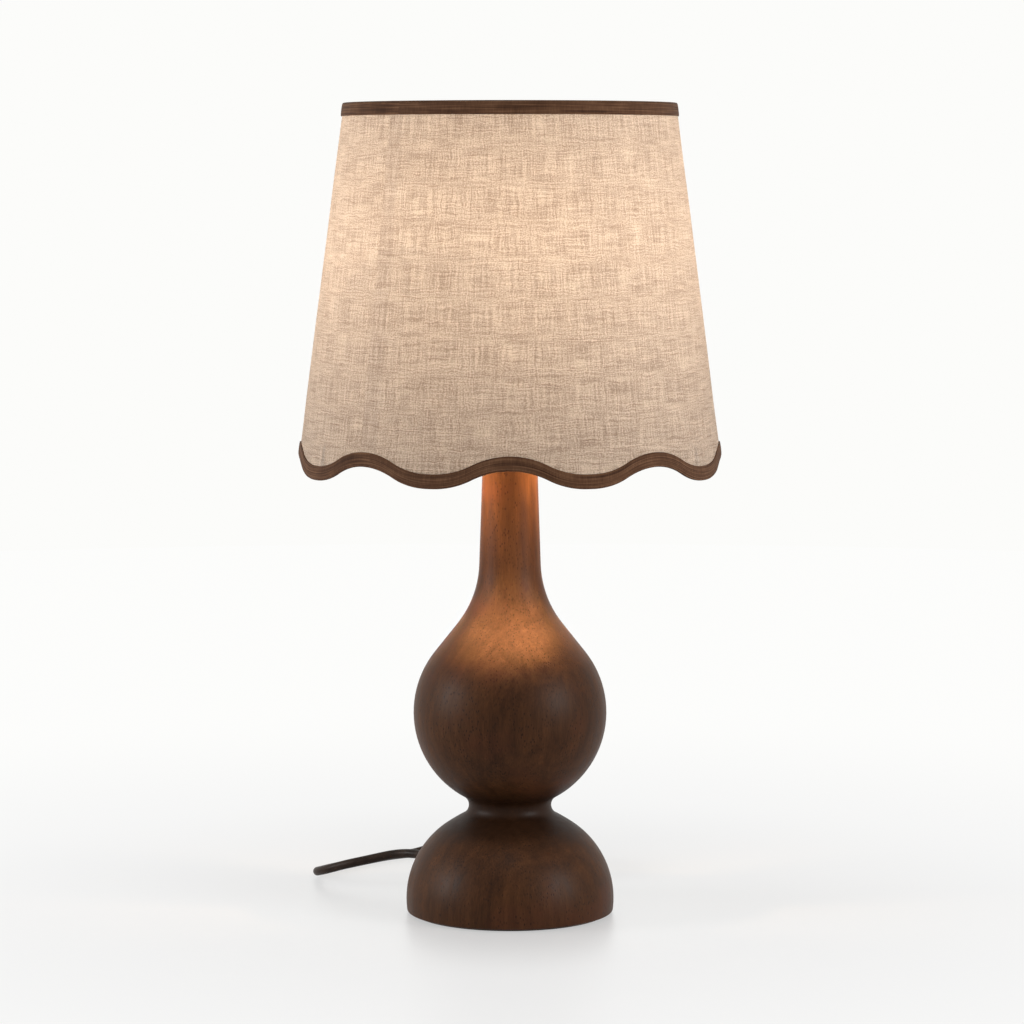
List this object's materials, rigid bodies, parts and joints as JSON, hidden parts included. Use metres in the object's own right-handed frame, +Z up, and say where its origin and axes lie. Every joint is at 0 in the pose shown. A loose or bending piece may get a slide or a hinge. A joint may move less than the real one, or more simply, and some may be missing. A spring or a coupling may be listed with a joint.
{
  "type": "table lamp",
  "caption": "Table lamp with a turned wooden gourd body, a scalloped tapered linen shade, a screw-cap bulb, and a round flex with an inline rocker switch and plug.",
  "frame": {"origin": "centre of the footprint, on the surface the lamp stands on", "axes": "+Z up along the lamp's turned axis, front faces -Y, +X to the right seen from the front"},
  "size_m": [0.2554, 0.3193, 0.4892],
  "materials": {
    "walnut": "satin lacquer over dark stain, fine open pores",
    "felt": "dense wool felt",
    "hardboard": "smooth pressed hardboard",
    "steel_zinc": "bright zinc plate",
    "iron": "as cast",
    "brass": "bright turned brass",
    "holder_black": "moulded thermoset, fine matt",
    "ceramic_white": "unglazed technical ceramic",
    "wire_brown": "PVC insulation",
    "wire_blue": "PVC insulation",
    "flex_brown": "round flex with a smooth dark brown PVC sheath",
    "gland_brown": "moulded soft PVC",
    "tie_black": "woven hook and loop tape",
    "switch_brown": "moulded, half gloss",
    "rocker_brown": "moulded, half gloss",
    "plug_brown": "moulded PVC",
    "pin_nickel": "nickel-plated brass",
    "linen": "coarse slubbed natural linen, lit from inside",
    "liner": "translucent white liner bonded to the linen",
    "binding": "folded dark brown twill tape",
    "wire_white": "white powder coat on steel wire",
    "opal_glass": "opal, lit warm",
    "cap_aluminium": "rolled sheet",
    "bulb_insulator": "black vitrite"
  },
  "bodies": {
    "lamp_base": {"foot_dome": "walnut", "body_gourd": "walnut", "felt_pad": "felt", "base_cover": "hardboard", "cover_screws": "steel_zinc", "ballast": "iron", "rod_washer": "steel_zinc", "rod_nut": "steel_zinc", "threaded_rod": "steel_zinc", "neck_collar": "brass", "holder_cap": "holder_black", "holder_core": "ceramic_white", "holder_shell": "brass", "holder_contact": "brass", "holder_skirt": "holder_black", "terminal_live": "brass", "terminal_neutral": "brass", "wire_live": "wire_brown", "wire_neutral": "wire_blue", "flex_inner": "flex_brown", "cord_gland": "gland_brown", "cord_lead": "flex_brown", "cord_link": "flex_brown", "cord_coil": "flex_brown", "cord_tail": "flex_brown", "cord_tie": "tie_black", "switch_lower": "switch_brown", "switch_upper": "switch_brown", "switch_screws": "steel_zinc", "plug_body": "plug_brown", "plug_boot": "gland_brown", "plug_pin_live": "pin_nickel", "plug_pin_neutral": "pin_nickel"},
    "shade": {"shade_linen": "linen", "shade_liner": "liner", "top_binding": "binding", "bottom_binding": "binding", "top_wire": "wire_white", "bottom_wire": "wire_white", "spider_fitter": "wire_white", "spider_arm_1": "wire_white", "spider_arm_2": "wire_white", "spider_arm_3": "wire_white"},
    "shade_lock": {"shade_lock": "holder_black"},
    "bulb": {"bulb_glass": "opal_glass", "bulb_cap": "cap_aluminium", "bulb_insulator": "bulb_insulator", "bulb_contact": "cap_aluminium"},
    "switch_rocker": {"switch_rocker": "rocker_brown"}
  },
  "joints": [
    {"name": "shade_turn", "type": "hinge", "parent": "lamp_base", "child": "shade", "pos_m": [0, 0, 0.3196], "axis": [0, 0, 1], "continuous": true},
    {"name": "shade_lock_turn", "type": "hinge", "parent": "lamp_base", "child": "shade_lock", "pos_m": [0, 0, 0.3196], "axis": [0, 0, 1], "continuous": true},
    {"name": "bulb_lift", "type": "slide", "parent": "lamp_base", "child": "bulb", "axis": [0, 0, 1], "range_m": [0, 0.18]},
    {"name": "rocker_tilt", "type": "hinge", "parent": "lamp_base", "child": "switch_rocker", "pos_m": [-0.02, 0.181, 0.007], "axis": [0, 1, 0], "range_deg": [-14, 0]}
  ]
}
